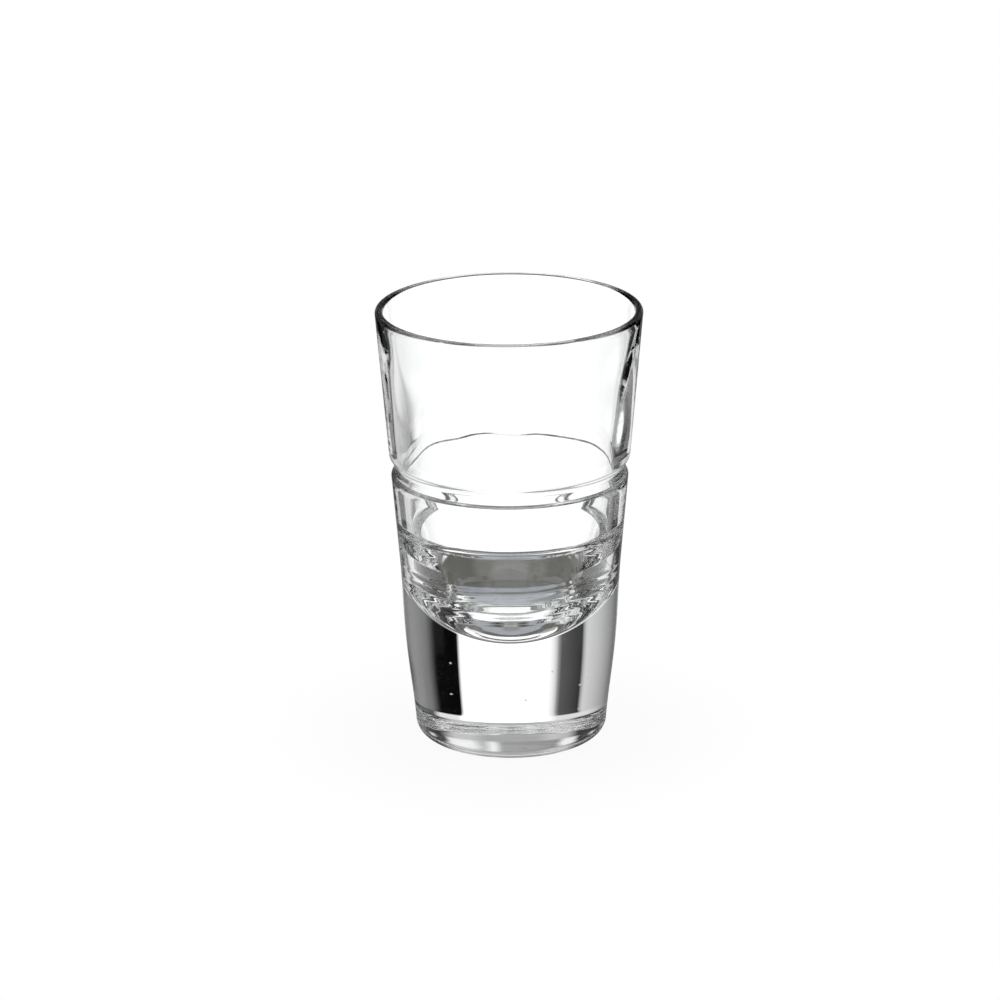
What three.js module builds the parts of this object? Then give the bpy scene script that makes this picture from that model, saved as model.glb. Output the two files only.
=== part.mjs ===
import * as THREE from 'three';

// A pressed tequila glass in millimetres, standing on z = 0 with its axis on Z.

// Outside
const glassHeight = 83.65;
const rimRadius = 25;
const lipThickness = 1.6;
const shoulderHeight = 51.3;
const shoulderRadius = 22.3;
const shoulderRounding = 0.6;
const grooveDepth = 0.7;
const grooveFloorRise = 2.3;
const grooveTopRise = 4.4;
const baseRadius = 18.15;
const bellyBulge = 0.4;
const bellyTop = 35;
const heelRadius = 2.85;

// Underside
const footRingWidth = 2.4;
const footHollowRise = 0.8;

// Inside
const floorThickness = 20.4;
const bowlDepth = 20.6;
const ledgeWall = 2.7;
const ledgeWidth = 1.65;
const ledgeDrop = 0.18;
const ledgeEdgeWidth = 0.15;
const ledgeEdgeDrop = 0.37;
const bowlTilt = THREE.MathUtils.degToRad(15);

// Fineness of the rounded stretches
const sidesAround = 64;
const hollowSteps = 5;
const heelSteps = 5;
const bellySteps = 8;
const shoulderSteps = 2;
const flankSteps = 4;
const lipSteps = 8;
const bowlSteps = 12;

const lipRadius = lipThickness / 2;
const lipHeight = glassHeight - lipRadius;
const footRadius = baseRadius - heelRadius;
const hollowRadius = footRadius - footRingWidth;

function mix(from, to, share) {
  return from + (to - from) * share;
}

function point(radius, height) {
  return new THREE.Vector2(radius, height);
}

// Points from share 0 to share 1 of a stretch, without its first point.
function stretch(steps, place) {
  const points = [];
  for (let step = 1; step <= steps; step += 1) {
    points.push(place(step / steps));
  }
  return points;
}

function arc(centreRadius, centreHeight, radius, fromAngle, toAngle, steps) {
  return stretch(steps, (share) => {
    const angle = mix(fromAngle, toAngle, share);
    return point(centreRadius + radius * Math.cos(angle), centreHeight + radius * Math.sin(angle));
  });
}

// Straight taper of the lower body, from the heel to the shoulder and on above it.
function lowerTaper(height) {
  const share = (height - heelRadius) / (shoulderHeight - heelRadius);
  return mix(baseRadius, shoulderRadius, share);
}

// Straight taper of the upper body, from the shoulder to the lip.
function upperTaper(height) {
  const share = (height - shoulderHeight) / (lipHeight - shoulderHeight);
  return mix(shoulderRadius, rimRadius, share);
}

// Shallow hollow in the underside, with the flat ring that the glass stands on.
function underside() {
  const hollow = stretch(hollowSteps, (share) => point(
    hollowRadius * share,
    footHollowRise * (1 - share ** 2),
  ));
  return [point(0, footHollowRise), ...hollow, point(footRadius, 0)];
}

function heel() {
  return arc(footRadius, heelRadius, heelRadius, -Math.PI / 2, 0, heelSteps);
}

// Lower body with its slight belly over the thick base.
function lowerBody() {
  const belly = stretch(bellySteps, (share) => {
    const height = mix(heelRadius, bellyTop, share);
    return point(lowerTaper(height) + bellyBulge * Math.sin(Math.PI * share) ** 2, height);
  });
  return [...belly, point(shoulderRadius, shoulderHeight)];
}

// Groove above the shoulder: a rounded edge, a slow slope in and a quicker curve back out.
function groove() {
  const edge = arc(
    shoulderRadius - shoulderRounding, shoulderHeight, shoulderRounding, 0, Math.PI / 2, shoulderSteps,
  );
  const edgeEnd = edge[edge.length - 1];
  const floorHeight = shoulderHeight + grooveFloorRise;
  const floorRadius = upperTaper(floorHeight) - grooveDepth;
  const topHeight = shoulderHeight + grooveTopRise;
  const lowerFlank = stretch(flankSteps, (share) => point(
    mix(edgeEnd.x, floorRadius, Math.sin(share * Math.PI / 2)),
    mix(edgeEnd.y, floorHeight, share),
  ));
  const upperFlank = stretch(flankSteps, (share) => point(
    mix(floorRadius, upperTaper(topHeight), THREE.MathUtils.smoothstep(share, 0, 1)),
    mix(floorHeight, topHeight, share),
  ));
  return [...edge, ...lowerFlank, ...upperFlank];
}

// Straight upper wall and the rounded lip over it, ending on the inside.
function upperBody() {
  const lip = arc(rimRadius - lipRadius, lipHeight, lipRadius, 0, Math.PI, lipSteps);
  return [point(rimRadius, lipHeight), ...lip];
}

// Inside, down the straight wall to the narrow ledge, and down the round-bottomed bowl to the axis.
function inside() {
  const ledgeHeight = floorThickness + bowlDepth;
  const ledgeRadius = lowerTaper(ledgeHeight) - ledgeWall;
  const edgeRadius = ledgeRadius - ledgeWidth;
  const edgeHeight = ledgeHeight - ledgeDrop;
  const bowlTopRadius = edgeRadius - ledgeEdgeWidth;
  const bowlTopHeight = edgeHeight - ledgeEdgeDrop;
  const bowlRadius = tangentRadius(bowlTopRadius, bowlTopHeight - floorThickness);
  const bowlCentre = floorThickness + bowlRadius;
  const bowl = arc(0, bowlCentre, bowlRadius, -bowlTilt, -Math.PI / 2, bowlSteps);
  bowl[bowl.length - 1].x = 0;
  return [
    point(ledgeRadius, ledgeHeight),
    point(edgeRadius, edgeHeight),
    point(bowlTopRadius, bowlTopHeight),
    point(bowlRadius * Math.cos(bowlTilt), bowlCentre - bowlRadius * Math.sin(bowlTilt)),
    ...bowl,
  ];
}

// Radius of the round bottom that the bowl's straight tilted side runs into without a corner.
function tangentRadius(topRadius, depth) {
  const sine = Math.sin(bowlTilt);
  return (topRadius * Math.cos(bowlTilt) - depth * sine) / (1 - sine);
}

function clearGlass() {
  return new THREE.MeshStandardMaterial({
    name: 'clear_glass', color: 0xf4f8f7, roughness: 0.02, metalness: 0, transparent: true, opacity: 0.35,
  });
}

function glassBody() {
  const outline = [...underside(), ...heel(), ...lowerBody(), ...groove(), ...upperBody(), ...inside()];
  const geometry = new THREE.LatheGeometry(outline, sidesAround);
  geometry.rotateX(Math.PI / 2);
  const body = new THREE.Mesh(geometry, clearGlass());
  body.name = 'glass_body';
  return body;
}

const glass = new THREE.Group();
glass.add(glassBody());

export default glass;
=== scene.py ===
import math

import bpy
from mathutils import Matrix, Vector


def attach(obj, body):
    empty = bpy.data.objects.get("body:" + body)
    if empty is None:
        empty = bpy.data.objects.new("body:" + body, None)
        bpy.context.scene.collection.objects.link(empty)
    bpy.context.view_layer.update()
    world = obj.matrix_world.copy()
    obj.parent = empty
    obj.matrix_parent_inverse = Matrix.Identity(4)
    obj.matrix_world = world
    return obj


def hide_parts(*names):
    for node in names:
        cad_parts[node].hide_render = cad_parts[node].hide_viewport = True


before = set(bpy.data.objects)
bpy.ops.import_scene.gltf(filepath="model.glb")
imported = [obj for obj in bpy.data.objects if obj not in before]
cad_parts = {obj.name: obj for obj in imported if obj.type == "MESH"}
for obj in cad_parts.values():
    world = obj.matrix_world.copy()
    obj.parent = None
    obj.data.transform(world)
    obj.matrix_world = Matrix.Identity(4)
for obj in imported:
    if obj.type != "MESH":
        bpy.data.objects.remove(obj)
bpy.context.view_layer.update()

# All lengths are in millimetres and become metres in the meshes.
MM = 0.001

# Outside of the glass
GLASS_HEIGHT = 83.65
RIM_RADIUS = 25.0
LIP_THICKNESS = 1.6
SHOULDER_HEIGHT = 51.3
SHOULDER_RADIUS = 22.3
SHOULDER_ROUNDING = 0.6
GROOVE_DEPTH = 0.7
GROOVE_FLOOR_RISE = 2.3
GROOVE_TOP_RISE = 4.4
BASE_RADIUS = 18.15
BELLY_BULGE = 0.4
BELLY_TOP = 35.0
HEEL_RADIUS = 2.85

# Underside
FOOT_RING_WIDTH = 2.4
FOOT_HOLLOW_RISE = 0.8

# Inside
FLOOR_THICKNESS = 20.4
BOWL_DEPTH = 20.6
LEDGE_WALL = 2.7
LEDGE_WIDTH = 1.65
LEDGE_DROP = 0.18
LEDGE_EDGE_WIDTH = 0.15
LEDGE_EDGE_DROP = 0.37
BOWL_TILT = math.radians(15.0)

# Fineness of the pressed shape
SIDES_AROUND = 380
HOLLOW_STEPS = 10
RING_STEPS = 3
HEEL_STEPS = 12
BELLY_STEPS = 16
RISE_STEPS = 6
FLANK_STEPS = 10
SHOULDER_STEPS = 6
UPPER_STEPS = 8
LIP_STEPS = 18
WALL_STEPS = 22
LEDGE_STEPS = 3
CONE_STEPS = 6
RIPPLED_CONE_STEPS = 22
RIPPLED_BOWL_STEPS = 84
BOWL_STEPS = 12
WELD_DISTANCE = 0.001

# Unevenness that the press and the fire polish leave inside
WALL_WAVE_DEPTH = 0.65
WALL_WAVE_WIDTH = 12.0
WALL_WAVE_STRETCH = 0.6
WALL_WAVE_LIP_FADE = 8.0
WALL_WAVE_FOOT = 44.0
WALL_WAVE_FOOT_FADE = 14.0
WALL_WAVE_FOOT_SHARE = 0.04
WALL_WAVE_AXIS_FADE = 12.0
BOWL_RIPPLE_DEPTH = 0.012
BOWL_RIPPLE_SPACING = 1.9
BOWL_RIPPLE_WANDER = 3.2
BOWL_RIPPLE_WANDER_WIDTH = 16.0
BOWL_RIPPLE_TOP = 35.2
BOWL_RIPPLE_TOP_FADE = 2.0
BOWL_RIPPLE_FOOT = 23.5
BOWL_RIPPLE_FOOT_FADE = 4.0
UNEVEN_SEED = 4.0
UNEVEN_VALUES = ("wall_share", "bowl_share", "run")

# Seeds: the tiny bubbles in the thick base
SEED_COUNT = 9
SEED_SMALLEST = 0.08
SEED_LARGEST = 0.2
SEED_NEAREST = 2.0
SEED_FARTHEST = 14.0
SEED_LOWEST = 4.0
SEED_HIGHEST = 17.0
SEED_SUBDIVISIONS = 3
SEED_DRAW = 259

# Clear glass, with faint cords in its tint and a polished skin
GLASS_IOR = 1.52
CORD_SCALE = 55.0
CORD_TINTS = ((0.35, (0.965, 0.98, 0.985, 1.0)), (0.65, (0.995, 0.995, 0.99, 1.0)))
SKIN_SCALE = 160.0
SKIN_ROUGHNESS = 0.001
SKIN_RIPPLE_STRENGTH = 0.008
SKIN_RIPPLE_DEPTH = 0.2

# White table, with the soft shadow that the glass leaves on it
TABLE_RADIUS = 800.0
TABLE_SIDES = 60
TABLE_DROP = 0.02
TABLE_GREY = 0.92
TABLE_ROUGHNESS = 0.9
SHADOW_NEAR = 20.0
SHADOW_FAR = 50.0
SHADOW_WHITE_SHARE = 0.94

# Camera, fitted to the outline of the glass in the picture
CAMERA_AIM_HEIGHT = 40.0
CAMERA_DISTANCE = 900.0
CAMERA_ELEVATION = math.radians(18.7)
CAMERA_ROLL = math.radians(-0.33)
CAMERA_SENSOR = 36.0
CAMERA_FOCUS_PIXELS = 4764.0
PICTURE_PIXELS = 1000.0
AIM_PIXEL = (510.2, 529.9)


def mix(start, end, share):
    return start + (end - start) * share


def stretch(steps, place):
    """Points from share 0 to share 1 of a stretch, without its first point."""
    return [place(step / steps) for step in range(1, steps + 1)]


def line(start, end, steps):
    """Straight stretch with its points closer together towards both ends."""
    return stretch(steps, lambda share: (
        mix(start[0], end[0], smooth(share)), mix(start[1], end[1], smooth(share))))


def even_line(start, end, steps):
    """Straight stretch with its points evenly spaced."""
    return stretch(steps, lambda share: (mix(start[0], end[0], share), mix(start[1], end[1], share)))


def arc(centre, radius, start, end, steps):
    def place(share):
        angle = mix(start, end, share)
        return centre[0] + radius * math.cos(angle), centre[1] + radius * math.sin(angle)
    return stretch(steps, place)


def smooth(share):
    """Ease from 0 to 1, flat at both ends and beyond them."""
    share = min(max(share, 0.0), 1.0)
    return share * share * (3.0 - 2.0 * share)


def lower_taper(height):
    share = (height - HEEL_RADIUS) / (SHOULDER_HEIGHT - HEEL_RADIUS)
    return mix(BASE_RADIUS, SHOULDER_RADIUS, share)


def upper_taper(height):
    lip_height = GLASS_HEIGHT - LIP_THICKNESS / 2
    share = (height - SHOULDER_HEIGHT) / (lip_height - SHOULDER_HEIGHT)
    return mix(SHOULDER_RADIUS, RIM_RADIUS, share)


def foot_outline():
    """Shallow hollow under the glass, the flat ring round it and the rounded heel."""
    foot_radius = BASE_RADIUS - HEEL_RADIUS
    hollow_radius = foot_radius - FOOT_RING_WIDTH
    hollow = stretch(HOLLOW_STEPS, lambda share: (
        hollow_radius * share, FOOT_HOLLOW_RISE * (1 - share ** 2)))
    ring = line((hollow_radius, 0.0), (foot_radius, 0.0), RING_STEPS)
    heel = arc((foot_radius, HEEL_RADIUS), HEEL_RADIUS, -math.pi / 2, 0.0, HEEL_STEPS)
    return [(0.0, FOOT_HOLLOW_RISE)] + hollow + ring + heel


def lower_outline():
    """Lower body with its slight belly, up to the shoulder."""
    def belly(share):
        height = mix(HEEL_RADIUS, BELLY_TOP, share)
        return lower_taper(height) + BELLY_BULGE * math.sin(math.pi * share) ** 2, height
    rise = line((lower_taper(BELLY_TOP), BELLY_TOP), (SHOULDER_RADIUS, SHOULDER_HEIGHT), RISE_STEPS)
    return stretch(BELLY_STEPS, belly) + rise


def groove_outline():
    """Rounded shoulder edge, slow slope in to the groove and quick curve back out."""
    edge_centre = (SHOULDER_RADIUS - SHOULDER_ROUNDING, SHOULDER_HEIGHT)
    edge = arc(edge_centre, SHOULDER_ROUNDING, 0.0, math.pi / 2, SHOULDER_STEPS)
    floor_height = SHOULDER_HEIGHT + GROOVE_FLOOR_RISE
    floor_radius = upper_taper(floor_height) - GROOVE_DEPTH
    top_height = SHOULDER_HEIGHT + GROOVE_TOP_RISE
    top_radius = upper_taper(top_height)
    lower_flank = stretch(FLANK_STEPS, lambda share: (
        mix(edge[-1][0], floor_radius, math.sin(share * math.pi / 2)),
        mix(edge[-1][1], floor_height, share)))
    upper_flank = stretch(FLANK_STEPS, lambda share: (
        mix(floor_radius, top_radius, smooth(share)), mix(floor_height, top_height, share)))
    return edge + lower_flank + upper_flank


def lip_outline():
    """Straight upper wall and the rounded lip over it."""
    lip_radius = LIP_THICKNESS / 2
    lip_height = GLASS_HEIGHT - lip_radius
    top_height = SHOULDER_HEIGHT + GROOVE_TOP_RISE
    wall = line((upper_taper(top_height), top_height), (RIM_RADIUS, lip_height), UPPER_STEPS)
    return wall + arc((RIM_RADIUS - lip_radius, lip_height), lip_radius, 0.0, math.pi, LIP_STEPS)


def inside_outline():
    """Inner wall, narrow ledge, tilted side of the bowl and its round bottom."""
    lip_end = (RIM_RADIUS - LIP_THICKNESS, GLASS_HEIGHT - LIP_THICKNESS / 2)
    ledge_height = FLOOR_THICKNESS + BOWL_DEPTH
    ledge = (lower_taper(ledge_height) - LEDGE_WALL, ledge_height)
    edge = (ledge[0] - LEDGE_WIDTH, ledge[1] - LEDGE_DROP)
    bowl_top = (edge[0] - LEDGE_EDGE_WIDTH, edge[1] - LEDGE_EDGE_DROP)
    sine = math.sin(BOWL_TILT)
    depth = bowl_top[1] - FLOOR_THICKNESS
    bowl_radius = (bowl_top[0] * math.cos(BOWL_TILT) - depth * sine) / (1 - sine)
    centre = (0.0, FLOOR_THICKNESS + bowl_radius)
    round_start = (bowl_radius * math.cos(BOWL_TILT), centre[1] - bowl_radius * sine)
    ripple_start = (bowl_top[0] - (bowl_top[1] - BOWL_RIPPLE_TOP) * math.tan(BOWL_TILT), BOWL_RIPPLE_TOP)
    ripple_end = -math.asin((centre[1] - BOWL_RIPPLE_FOOT) / bowl_radius)
    wall = even_line(lip_end, ledge, WALL_STEPS)
    bowl = line(ledge, edge, LEDGE_STEPS) + line(edge, bowl_top, LEDGE_STEPS)
    bowl += line(bowl_top, ripple_start, CONE_STEPS)
    bowl += even_line(ripple_start, round_start, RIPPLED_CONE_STEPS)
    bowl += arc(centre, bowl_radius, -BOWL_TILT, ripple_end, RIPPLED_BOWL_STEPS)
    bowl += arc(centre, bowl_radius, ripple_end, -math.pi / 2, BOWL_STEPS)
    bowl[-1] = (0.0, FLOOR_THICKNESS)
    return wall, bowl


def wall_wave_share(radius, height):
    """Share of the slow waves at one point of the inside."""
    below_lip = smooth((GLASS_HEIGHT - height) / WALL_WAVE_LIP_FADE)
    above_foot = smooth((height - WALL_WAVE_FOOT) / WALL_WAVE_FOOT_FADE)
    return below_lip * mix(WALL_WAVE_FOOT_SHARE, 1.0, above_foot) * smooth(radius / WALL_WAVE_AXIS_FADE)


def bowl_ripple_share(height):
    """Share of the fine ripples at one height of the inside."""
    below_top = smooth((BOWL_RIPPLE_TOP - height) / BOWL_RIPPLE_TOP_FADE)
    return below_top * smooth((height - BOWL_RIPPLE_FOOT) / BOWL_RIPPLE_FOOT_FADE)


def outline_mesh():
    """Half section of the glass as one chain of edges, with how uneven each of its points is."""
    outside = foot_outline() + lower_outline() + groove_outline() + lip_outline()
    wall, bowl = inside_outline()
    points = outside + wall + bowl
    mesh = bpy.data.meshes.new("glass_outline")
    chain = [(index, index + 1) for index in range(len(points) - 1)]
    mesh.from_pydata([(radius * MM, 0.0, height * MM) for radius, height in points], chain, [])
    even = [0.0] * len(outside)
    wall_shares = even + [wall_wave_share(radius, height) for radius, height in wall + bowl]
    bowl_shares = even + [bowl_ripple_share(height) for _, height in wall + bowl]
    bowl_runs = [0.0]
    for before, after in zip(bowl, bowl[1:]):
        bowl_runs.append(bowl_runs[-1] + math.dist(after, before))
    runs = even + [0.0] * len(wall) + [run * MM for run in bowl_runs]
    for name, values in zip(UNEVEN_VALUES, (wall_shares, bowl_shares, runs)):
        mesh.attributes.new(name, "FLOAT", "POINT").data.foreach_set("value", values)
    return mesh


def feed(tree, socket, value):
    """Give a socket another node's output, or a value of its own."""
    if isinstance(value, bpy.types.NodeSocket):
        tree.links.new(value, socket)
    else:
        socket.default_value = value


def add_node(tree, kind, name, inputs=None, **settings):
    made = tree.nodes.new(kind)
    made.name = made.label = name
    for key, value in settings.items():
        setattr(made, key, value)
    for key, value in (inputs or {}).items():
        feed(tree, made.inputs[key], value)
    return made


def maths(tree, name, operation, *values):
    return add_node(tree, "ShaderNodeMath", name, dict(enumerate(values)), operation=operation).outputs[0]


def named_values(tree, name):
    made = add_node(tree, "GeometryNodeInputNamedAttribute", name, data_type="FLOAT")
    made.inputs["Name"].default_value = name
    return made.outputs["Attribute"]


PRESS_INPUTS = (
    ("Sides", "NodeSocketInt", SIDES_AROUND),
    ("Wall wave depth", "NodeSocketFloat", WALL_WAVE_DEPTH * MM),
    ("Wall wave width", "NodeSocketFloat", WALL_WAVE_WIDTH * MM),
    ("Bowl ripple depth", "NodeSocketFloat", BOWL_RIPPLE_DEPTH * MM),
    ("Bowl ripple spacing", "NodeSocketFloat", BOWL_RIPPLE_SPACING * MM),
    ("Bowl ripple wander", "NodeSocketFloat", BOWL_RIPPLE_WANDER * MM),
    ("Uneven seed", "NodeSocketFloat", UNEVEN_SEED),
    ("Seed count", "NodeSocketInt", SEED_COUNT),
    ("Seed smallest", "NodeSocketFloat", SEED_SMALLEST * MM),
    ("Seed largest", "NodeSocketFloat", SEED_LARGEST * MM),
    ("Seed nearest", "NodeSocketFloat", SEED_NEAREST * MM),
    ("Seed farthest", "NodeSocketFloat", SEED_FARTHEST * MM),
    ("Seed lowest", "NodeSocketFloat", SEED_LOWEST * MM),
    ("Seed highest", "NodeSocketFloat", SEED_HIGHEST * MM),
    ("Seed draw", "NodeSocketInt", SEED_DRAW),
)


def turned_shell(tree, given):
    """The outline carried round the axis, welded where it meets the axis."""
    outline = add_node(tree, "GeometryNodeMeshToCurve", "outline", {"Mesh": given["Geometry"]})
    place = add_node(tree, "GeometryNodeInputPosition", "outline place")
    kept = add_node(tree, "GeometryNodeCaptureAttribute", "keep outline place")
    kept.capture_items.new("VECTOR", "Place")
    tree.links.new(outline.outputs["Curve"], kept.inputs["Geometry"])
    tree.links.new(place.outputs[0], kept.inputs["Place"])
    ring = add_node(tree, "GeometryNodeCurvePrimitiveCircle", "way round", {"Resolution": given["Sides"]})
    turn = maths(tree, "turn share", "DIVIDE", add_node(tree, "GeometryNodeInputIndex", "side").outputs[0],
                 given["Sides"])
    angle = maths(tree, "turn angle", "MULTIPLY", turn, 2 * math.pi)
    turned = add_node(tree, "GeometryNodeCaptureAttribute", "keep turn angle")
    turned.capture_items.new("FLOAT", "Angle")
    tree.links.new(ring.outputs["Curve"], turned.inputs["Geometry"])
    tree.links.new(angle, turned.inputs["Angle"])
    swept = add_node(tree, "GeometryNodeCurveToMesh", "carry outline round",
                     {"Curve": turned.outputs["Geometry"], "Profile Curve": kept.outputs["Geometry"]})
    parts = add_node(tree, "ShaderNodeSeparateXYZ", "radius and height", {0: kept.outputs["Place"]})
    across = maths(tree, "across", "COSINE", turned.outputs["Angle"])
    along = maths(tree, "along", "SINE", turned.outputs["Angle"])
    spot = add_node(tree, "ShaderNodeCombineXYZ", "place round axis", {
        "X": maths(tree, "x", "MULTIPLY", across, parts.outputs["X"]),
        "Y": maths(tree, "y", "MULTIPLY", along, parts.outputs["X"]),
        "Z": parts.outputs["Z"]})
    placed = add_node(tree, "GeometryNodeSetPosition", "set round axis",
                      {"Geometry": swept.outputs["Mesh"], "Position": spot.outputs[0]})
    welded = add_node(tree, "GeometryNodeMergeByDistance", "weld at axis",
                      {"Geometry": placed.outputs["Geometry"], "Distance": WELD_DISTANCE * MM})
    return add_node(tree, "GeometryNodeFlipFaces", "face outwards",
                    {"Mesh": welded.outputs["Geometry"]}).outputs["Mesh"]


def uneven_inside(tree, given, shell):
    """Slow waves of the inner wall and fine wandering ripples of the bowl."""
    place = add_node(tree, "GeometryNodeInputPosition", "place")
    squeezed = add_node(tree, "ShaderNodeVectorMath", "draw waves out upwards",
                        {0: place.outputs[0], 1: (1.0, 1.0, WALL_WAVE_STRETCH)}, operation="MULTIPLY")
    wave_scale = maths(tree, "wave scale", "DIVIDE", 1.0, given["Wall wave width"])
    noise = add_node(tree, "ShaderNodeTexNoise", "wall waves", {
        "Vector": squeezed.outputs[0], "W": given["Uneven seed"], "Scale": wave_scale, "Detail": 1.0},
        noise_dimensions="4D")
    centred = maths(tree, "centre waves", "SUBTRACT", noise.outputs[0], 0.5)
    wall = maths(tree, "wave height", "MULTIPLY", centred, given["Wall wave depth"])
    wall = maths(tree, "waves below the lip", "MULTIPLY", wall, named_values(tree, "wall_share"))
    wander = add_node(tree, "ShaderNodeTexNoise", "ripple wander", {
        "Vector": place.outputs[0], "W": given["Uneven seed"], "Detail": 0.0,
        "Scale": 1.0 / (BOWL_RIPPLE_WANDER_WIDTH * MM)}, noise_dimensions="4D")
    shift = maths(tree, "wander length", "MULTIPLY", wander.outputs[0], given["Bowl ripple wander"])
    run = maths(tree, "wandering run", "ADD", named_values(tree, "run"), shift)
    phase = maths(tree, "ripple count", "DIVIDE", run, given["Bowl ripple spacing"])
    crest = maths(tree, "ripple crest", "SINE", maths(tree, "ripple phase", "MULTIPLY", phase, 2 * math.pi))
    ripple = maths(tree, "ripple height", "MULTIPLY", crest, given["Bowl ripple depth"])
    ripple = maths(tree, "ripples in the bowl", "MULTIPLY", ripple, named_values(tree, "bowl_share"))
    height = maths(tree, "uneven height", "ADD", wall, ripple)
    facing = add_node(tree, "GeometryNodeInputNormal", "facing")
    offset = add_node(tree, "ShaderNodeVectorMath", "uneven offset",
                      {0: facing.outputs[0], "Scale": height}, operation="SCALE")
    return add_node(tree, "GeometryNodeSetPosition", "press uneven", {
        "Geometry": shell, "Offset": offset.outputs[0]}).outputs["Geometry"]


def random_value(tree, given, name, low, high, draw):
    """One draw for each seed, between two bounds."""
    made = add_node(tree, "FunctionNodeRandomValue", name, data_type="FLOAT")
    bounds = [socket for socket in made.inputs if socket.name in ("Min", "Max") and socket.type == "VALUE"]
    for socket, bound in zip(bounds, (low, high)):
        feed(tree, socket, bound)
    feed(tree, made.inputs["Seed"], maths(tree, name + " draw", "ADD", given["Seed draw"], draw))
    return next(socket for socket in made.outputs if socket.type == "VALUE" and socket.enabled)


def base_seeds(tree, given):
    """Tiny round bubbles spread through the thick base, facing into their own hollow."""
    spots = add_node(tree, "GeometryNodeMeshLine", "one spot a seed", {"Count": given["Seed count"]})
    turn = random_value(tree, given, "seed turn", 0.0, 2 * math.pi, 1)
    reach = random_value(tree, given, "seed reach", given["Seed nearest"], given["Seed farthest"], 2)
    rise = random_value(tree, given, "seed rise", given["Seed lowest"], given["Seed highest"], 3)
    spot = add_node(tree, "ShaderNodeCombineXYZ", "seed place", {
        "X": maths(tree, "seed x", "MULTIPLY", maths(tree, "seed across", "COSINE", turn), reach),
        "Y": maths(tree, "seed y", "MULTIPLY", maths(tree, "seed along", "SINE", turn), reach),
        "Z": rise})
    spread = add_node(tree, "GeometryNodeSetPosition", "spread seeds",
                      {"Geometry": spots.outputs["Mesh"], "Position": spot.outputs[0]})
    ball = add_node(tree, "GeometryNodeMeshIcoSphere", "seed",
                    {"Radius": 1.0, "Subdivisions": SEED_SUBDIVISIONS})
    hollow = add_node(tree, "GeometryNodeFlipFaces", "seed hollow", {"Mesh": ball.outputs["Mesh"]})
    size = random_value(tree, given, "seed size", given["Seed smallest"], given["Seed largest"], 4)
    placed = add_node(tree, "GeometryNodeInstanceOnPoints", "seeds", {
        "Points": spread.outputs["Geometry"], "Instance": hollow.outputs["Mesh"], "Scale": size})
    return placed.outputs["Instances"]


def press_tree(glass):
    """Geometry nodes that make the whole glass from its outline."""
    tree = bpy.data.node_groups.new("pressed_glass", "GeometryNodeTree")
    tree.interface.new_socket("Geometry", in_out="INPUT", socket_type="NodeSocketGeometry")
    tree.interface.new_socket("Geometry", in_out="OUTPUT", socket_type="NodeSocketGeometry")
    for name, kind, _ in PRESS_INPUTS:
        tree.interface.new_socket(name, in_out="INPUT", socket_type=kind)
    given = add_node(tree, "NodeGroupInput", "given").outputs
    shell = uneven_inside(tree, given, turned_shell(tree, given))
    both = add_node(tree, "GeometryNodeJoinGeometry", "glass with seeds")
    tree.links.new(base_seeds(tree, given), both.inputs["Geometry"])
    tree.links.new(shell, both.inputs["Geometry"])
    real = add_node(tree, "GeometryNodeRealizeInstances", "realize", {"Geometry": both.outputs["Geometry"]})
    soft = add_node(tree, "GeometryNodeSetShadeSmooth", "fire polish",
                    {"Geometry": real.outputs["Geometry"]})
    clad = add_node(tree, "GeometryNodeSetMaterial", "glass",
                    {"Geometry": soft.outputs["Geometry"], "Material": glass})
    add_node(tree, "NodeGroupOutput", "made", {"Geometry": clad.outputs["Geometry"]})
    return tree


def pressed_glass(glass):
    """The whole glass as one plain mesh."""
    blank = bpy.data.objects.new("press_blank", outline_mesh())
    bpy.context.scene.collection.objects.link(blank)
    press = blank.modifiers.new("press", "NODES")
    press.node_group = press_tree(glass)
    sockets = {item.name: item.identifier for item in press.node_group.interface.items_tree
               if item.in_out == "INPUT"}
    for name, _, value in PRESS_INPUTS:
        press[sockets[name]] = value
    evaluated = blank.evaluated_get(bpy.context.evaluated_depsgraph_get())
    mesh = bpy.data.meshes.new_from_object(evaluated)
    mesh.name = "tequila_glass"
    blank.modifiers.remove(press)
    bpy.data.objects.remove(blank)
    for name in UNEVEN_VALUES:
        if name in mesh.attributes:
            mesh.attributes.remove(mesh.attributes[name])
    piece = bpy.data.objects.new("tequila_glass", mesh)
    bpy.context.scene.collection.objects.link(piece)
    return piece


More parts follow.
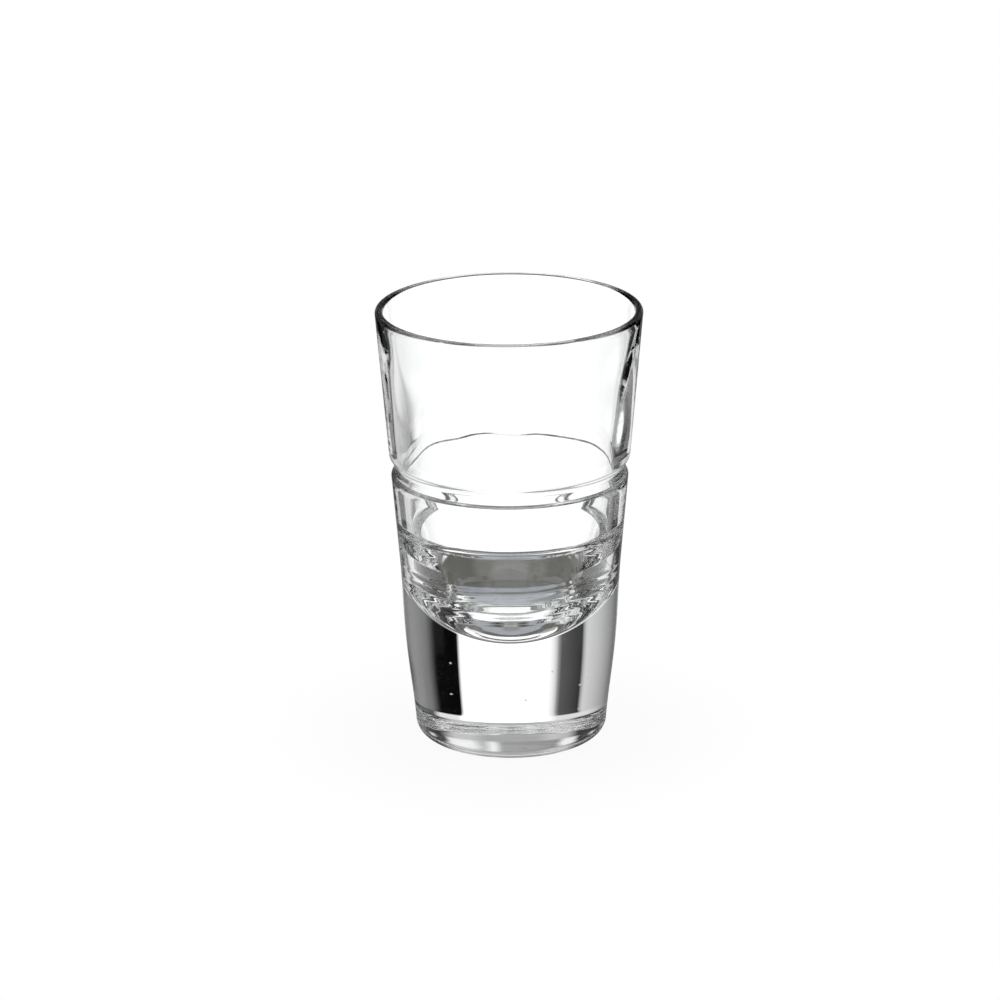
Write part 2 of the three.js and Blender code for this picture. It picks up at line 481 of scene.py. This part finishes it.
def clear_glass():
    """Clear pressed glass: faint cords in its tint and a fire-polished skin."""
    material = bpy.data.materials.new("clear_glass_polished")
    material.use_nodes = True
    tree = material.node_tree
    shader = tree.nodes["Principled BSDF"]
    shader.inputs["Transmission Weight"].default_value = 1.0
    shader.inputs["IOR"].default_value = GLASS_IOR
    place = add_node(tree, "ShaderNodeTexCoord", "place")
    cords = add_node(tree, "ShaderNodeTexNoise", "cords in the glass",
                     {"Vector": place.outputs["Object"], "Scale": CORD_SCALE, "Detail": 2.0})
    tint = add_node(tree, "ShaderNodeValToRGB", "faint tint", {"Fac": cords.outputs[0]})
    for element, (position, colour) in zip(tint.color_ramp.elements, CORD_TINTS):
        element.position = position
        element.color = colour
    tree.links.new(tint.outputs["Color"], shader.inputs["Base Color"])
    skin = add_node(tree, "ShaderNodeTexNoise", "polished skin",
                    {"Vector": place.outputs["Object"], "Scale": SKIN_SCALE, "Detail": 3.0})
    gloss = add_node(tree, "ShaderNodeMapRange", "gloss", {
        "Value": skin.outputs[0], "From Min": 0.3, "From Max": 0.7, "To Min": 0.0, "To Max": SKIN_ROUGHNESS})
    tree.links.new(gloss.outputs[0], shader.inputs["Roughness"])
    ripple = add_node(tree, "ShaderNodeBump", "skin ripple", {
        "Height": skin.outputs[0], "Strength": SKIN_RIPPLE_STRENGTH, "Distance": SKIN_RIPPLE_DEPTH * MM})
    tree.links.new(ripple.outputs["Normal"], shader.inputs["Normal"])
    return material


# Tints of the studio
BLACK = (0.0, 0.0, 0.0)
WHITE = (1.0, 1.0, 1.0)
COOL = (0.88, 0.93, 1.0)
WARM = (1.0, 0.97, 0.88)
FAINTLY_WARM = (1.0, 0.98, 0.94)

# Bright screen behind the glass, and light and dark strips behind the camera
SCREEN = ((-14, 1.25), (21, 1.25))
BACK_STRIPS = (
    (-180, 1.1), (-160, 1.1), (-154, 0.06), (-148, 0.9), (-120, 0.9), (-114, 0.06), (-102, 0.06),
    (-100, 1.0))

# Studio round the glass, in bands from straight down to overhead. Each band has the degrees of elevation
# that it fills, its tint, and its brightness by degrees of azimuth, where 0 lies behind the glass and +
# to the right. The first stops start straight behind the camera and are the same on both sides.
STUDIO = (
    ("straight_down", -90, -82, FAINTLY_WARM, ((-180, 0.28),), ()),
    ("under_foot", -77, -60, COOL,
        ((-180, 1.35), (-150, 1.35), (-140, 0.05), (-110, 0.05), (-70, 0.42)), ()),
    ("glass_shade", -57, -44, WARM,
        ((-180, 1.35), (-150, 1.35), (-140, 0.04), (-110, 0.04), (-70, 0.12)),
        ((-45, 0.2), (-25, 0.13), (40, 0.13))),
    ("table", -40, -27, WHITE,
        ((-180, 1.25), (-150, 1.25), (-142, 0.1)),
        ((-62, 0.1), (-56, 0.85), (-24, 0.85), (-18, 1.25), (18, 1.25), (22, 0.5), (30, 0.33), (50, 0.33),
         (60, 0.06))),
    ("far_table", -25, -18.5, WHITE, BACK_STRIPS,
        ((-62, 1.0), (-56, 0.6), (-36, 0.7), (-33, 0.05), (-20, 0.11), (-17.5, 0.9), *SCREEN,
         (23, 0.05), (36, 0.05), (43, 0.2), (56, 0.25), (62, 1.0))),
    ("flags", -16.5, -9, WHITE, BACK_STRIPS,
        ((-80, 1.0), (-78, 0.25), (-56, 0.46), (-36, 0.7), (-34, 0.5), (-33, 0.03), (-20, 0.11),
         (-19.3, 0.5), (-17.5, 0.9), *SCREEN, (21.6, 0.0), (36, 0.0), (43, 0.2), (56, 0.32), (78, 0.4),
         (80, 1.0))),
    ("flags_top", -6, 6, WHITE, ((-180, 0.05),),
        ((-78, 0.15), (-56, 0.5), (-40, 0.8), (-20, 0.8), *SCREEN, (24, 0.85), (36, 0.85), (42, 0.1),
         (100, 0.05))),
    ("backdrop_top", 9, 23, WHITE, ((-180, 0.05),),
        ((-165, 0.05), (-150, 0.7), (-70, 0.7), (-60, 0.05), (-34, 0.05), (-27, 0.5), (-18, 0.6),
         (-10, 0.42), (10, 0.42), (18, 0.6), (27, 0.6), (38, 0.05))),
    ("side_panels", 28, 48, WHITE, ((-180, 0.03),),
        ((-120, 0.03), (-100, 0.8), (-52, 0.9), (-46, 0.06), (-38, 0.06), (-33, 0.95), (-27, 0.95),
         (-22, 0.3), (4, 0.34), (8, 0.95), (13, 0.5), (19, 0.95), (32, 0.95), (37, 0.06), (44, 0.06),
         (49, 0.9), (58, 0.03))),
    ("overhead", 56, 70, WHITE, ((-180, 1.1),), ()),
    ("ceiling", 76, 90, WHITE, ((-180, 0.03),), ()),
)

# Share that the studio loses where the glass mirrors it on its outside
MIRROR_LOSS = 0.85


def mirrored(stops):
    """The same stops on the right, from the side round towards straight back."""
    return tuple((-azimuth, level) for azimuth, level in reversed(stops[1:]))


def band_light(tree, name, turn, tint, stops):
    """Brightness round one band of the studio."""
    ramp = add_node(tree, "ShaderNodeValToRGB", name, {"Fac": turn})
    elements = ramp.color_ramp.elements
    elements.remove(elements[-1])
    for index, (azimuth, level) in enumerate(stops):
        if index:
            elements.new((azimuth + 180.0) / 360.0)
        elements[index].position = (azimuth + 180.0) / 360.0
        elements[index].color = [level * part for part in tint] + [1.0]
    return ramp.outputs["Color"]


def blend_colours(tree, name, share, low, high):
    """Mix of two colours, through the sockets that the node keeps for colours."""
    made = add_node(tree, "ShaderNodeMix", name, data_type="RGBA")
    for socket, value in zip((made.inputs[0], made.inputs[6], made.inputs[7]), (share, low, high)):
        feed(tree, socket, value)
    return made.outputs[2]


def studio_light(tree):
    """Brightness of the studio in each direction, with its bands run softly into each other."""
    toward = add_node(tree, "ShaderNodeTexCoord", "toward")
    parts = add_node(tree, "ShaderNodeSeparateXYZ", "direction", {0: toward.outputs["Generated"]})
    azimuth = maths(tree, "azimuth", "ARCTAN2", parts.outputs["X"], parts.outputs["Y"])
    turn = add_node(tree, "ShaderNodeMapRange", "turn",
                    {"Value": azimuth, "From Min": -math.pi, "From Max": math.pi}).outputs[0]
    elevation = maths(tree, "elevation", "DEGREES", maths(tree, "tilt", "ARCSINE", parts.outputs["Z"]))
    light = below = None
    for name, lowest, highest, tint, back, front in STUDIO:
        band = band_light(tree, name, turn, tint, back + front + mirrored(back))
        if light is not None:
            share = add_node(tree, "ShaderNodeMapRange", name + " share", {
                "Value": elevation, "From Min": below, "From Max": lowest}, interpolation_type="SMOOTHSTEP")
            band = blend_colours(tree, name + " blend", share.outputs[0], light, band)
        light, below = band, highest
    return light


def studio_world():
    """White studio with dark flags beside its bright backdrop, and plain white to the camera."""
    world = bpy.data.worlds.new("studio")
    bpy.context.scene.world = world
    world.use_nodes = True
    tree = world.node_tree
    path = add_node(tree, "ShaderNodeLightPath", "path")
    outside = maths(tree, "mirrored outside", "SUBTRACT", path.outputs["Is Glossy Ray"],
                    path.outputs["Is Transmission Ray"])
    lost = maths(tree, "lost in the mirror", "MULTIPLY", outside, MIRROR_LOSS)
    shown = blend_colours(tree, "mirrored studio", lost, studio_light(tree), (*BLACK, 1.0))
    shown = blend_colours(tree, "white to the camera", path.outputs["Is Camera Ray"], shown, (*WHITE, 1.0))
    tree.links.new(shown, tree.nodes["Background"].inputs["Color"])


def table_material():
    """White table that shows only the soft shadow near the glass."""
    material = bpy.data.materials.new("white_table")
    material.use_nodes = True
    tree = material.node_tree
    shader = tree.nodes["Principled BSDF"]
    shader.inputs["Base Color"].default_value = (TABLE_GREY, TABLE_GREY, TABLE_GREY, 1.0)
    shader.inputs["Roughness"].default_value = TABLE_ROUGHNESS
    place = add_node(tree, "ShaderNodeTexCoord", "place")
    far = add_node(tree, "ShaderNodeVectorMath", "distance",
                   {0: place.outputs["Object"]}, operation="LENGTH")
    fade = add_node(tree, "ShaderNodeMapRange", "white share", {
        "Value": far.outputs["Value"], "From Min": SHADOW_NEAR * MM, "From Max": SHADOW_FAR * MM,
        "To Min": SHADOW_WHITE_SHARE, "To Max": 1.0})
    path = add_node(tree, "ShaderNodeLightPath", "path")
    seen = maths(tree, "seen", "MULTIPLY", path.outputs["Is Camera Ray"], fade.outputs[0])
    white = add_node(tree, "ShaderNodeEmission", "white", {"Strength": 1.0})
    blend = add_node(tree, "ShaderNodeMixShader", "table", {
        0: seen, 1: shader.outputs[0], 2: white.outputs[0]})
    tree.links.new(blend.outputs[0], tree.nodes["Material Output"].inputs["Surface"])
    return material


def white_table():
    """Round plain table under the glass, which the glass neither mirrors nor shows through."""
    mesh = bpy.data.meshes.new("white_table")
    radius = TABLE_RADIUS * MM
    turns = [math.radians(360 * side / TABLE_SIDES) for side in range(TABLE_SIDES)]
    rim = [(radius * math.cos(turn), radius * math.sin(turn), -TABLE_DROP * MM) for turn in turns]
    mesh.from_pydata(rim, [], [tuple(range(len(rim)))])
    mesh.materials.append(table_material())
    table = bpy.data.objects.new("white_table", mesh)
    table.visible_transmission = False
    table.visible_glossy = False
    bpy.context.scene.collection.objects.link(table)


def picture_camera():
    """Camera at the picture's own angle, with the aim point on its own pixel."""
    camera = bpy.data.objects.new("picture_camera", bpy.data.cameras.new("picture_camera"))
    bpy.context.scene.collection.objects.link(camera)
    camera.data.sensor_width = CAMERA_SENSOR
    camera.data.lens = CAMERA_FOCUS_PIXELS * CAMERA_SENSOR / PICTURE_PIXELS
    right = Vector((1.0, 0.0, 0.0))
    up = Vector((0.0, math.sin(CAMERA_ELEVATION), math.cos(CAMERA_ELEVATION)))
    back = Vector((0.0, -math.cos(CAMERA_ELEVATION), math.sin(CAMERA_ELEVATION)))
    stand = Vector((0.0, 0.0, CAMERA_AIM_HEIGHT * MM)) + back * CAMERA_DISTANCE * MM
    facing = Matrix((right, up, back)).transposed() @ Matrix.Rotation(CAMERA_ROLL, 3, "Z")
    camera.matrix_world = Matrix.Translation(stand) @ facing.to_4x4()
    camera.data.shift_x = (PICTURE_PIXELS / 2 - AIM_PIXEL[0]) / PICTURE_PIXELS
    camera.data.shift_y = (AIM_PIXEL[1] - PICTURE_PIXELS / 2) / PICTURE_PIXELS
    bpy.context.scene.camera = camera


def glass_light_bounces():
    """Enough bounces for light that runs through the thick base and round the wall."""
    cycles = bpy.context.scene.cycles
    cycles.max_bounces = 96
    cycles.transmission_bounces = 48
    cycles.glossy_bounces = 26


picture_camera()
studio_world()
white_table()
glass_light_bounces()
bpy.context.scene.view_settings.view_transform = "Standard"

tequila_glass = pressed_glass(clear_glass())
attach(tequila_glass, "root")
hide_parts("glass_body")
